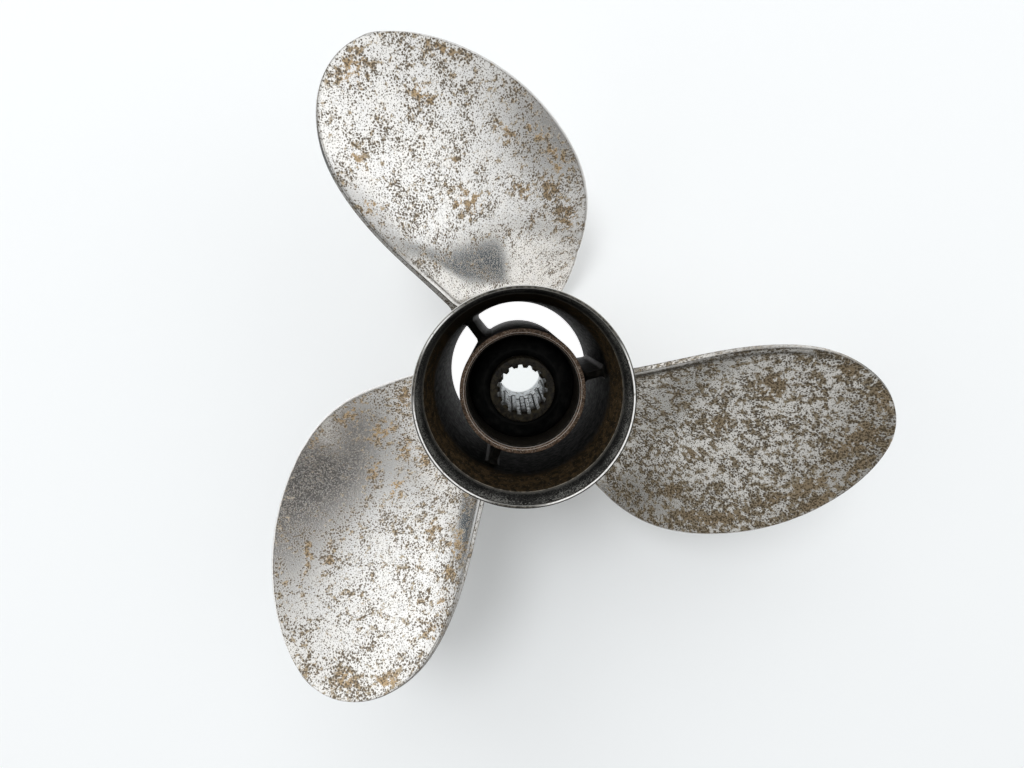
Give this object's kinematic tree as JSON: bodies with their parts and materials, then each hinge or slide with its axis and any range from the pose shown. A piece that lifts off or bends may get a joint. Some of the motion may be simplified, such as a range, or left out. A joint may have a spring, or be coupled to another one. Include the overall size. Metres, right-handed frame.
{
  "type": "three-blade outboard boat propeller",
  "caption": "Stainless boat propeller with raked blades on a flared through-hub exhaust barrel, ribbed inner hub, rubber bushing and splined sleeve.",
  "frame": {"origin": "on the shaft axis, in the plane of the hub's front rim, which the propeller stands on", "axes": "+Z along the shaft axis towards the aft flared ring, +Y through the tip of the first blade"},
  "size_m": [0.3206, 0.3023, 0.1536],
  "materials": {
    "stainless": "satin stainless steel, densely spotted with brown surface rust",
    "polished_lip": "polished lip, dark stained inside",
    "rusty_hub": "brown rust film",
    "dark_casting": "dark exhaust stain",
    "rubber": "black moulded rubber",
    "oiled_steel": "oily brown steel with bright worn splines"
  },
  "bodies": {
    "root": {"outer_barrel": "stainless", "diffuser_ring": "polished_lip", "inner_hub": "rusty_hub", "rib_1": "dark_casting", "rib_2": "dark_casting", "rib_3": "dark_casting", "blade_1": "stainless", "blade_2": "stainless", "blade_3": "stainless", "rubber_bushing": "rubber", "splined_sleeve": "oiled_steel"}
  },
  "joints": []
}
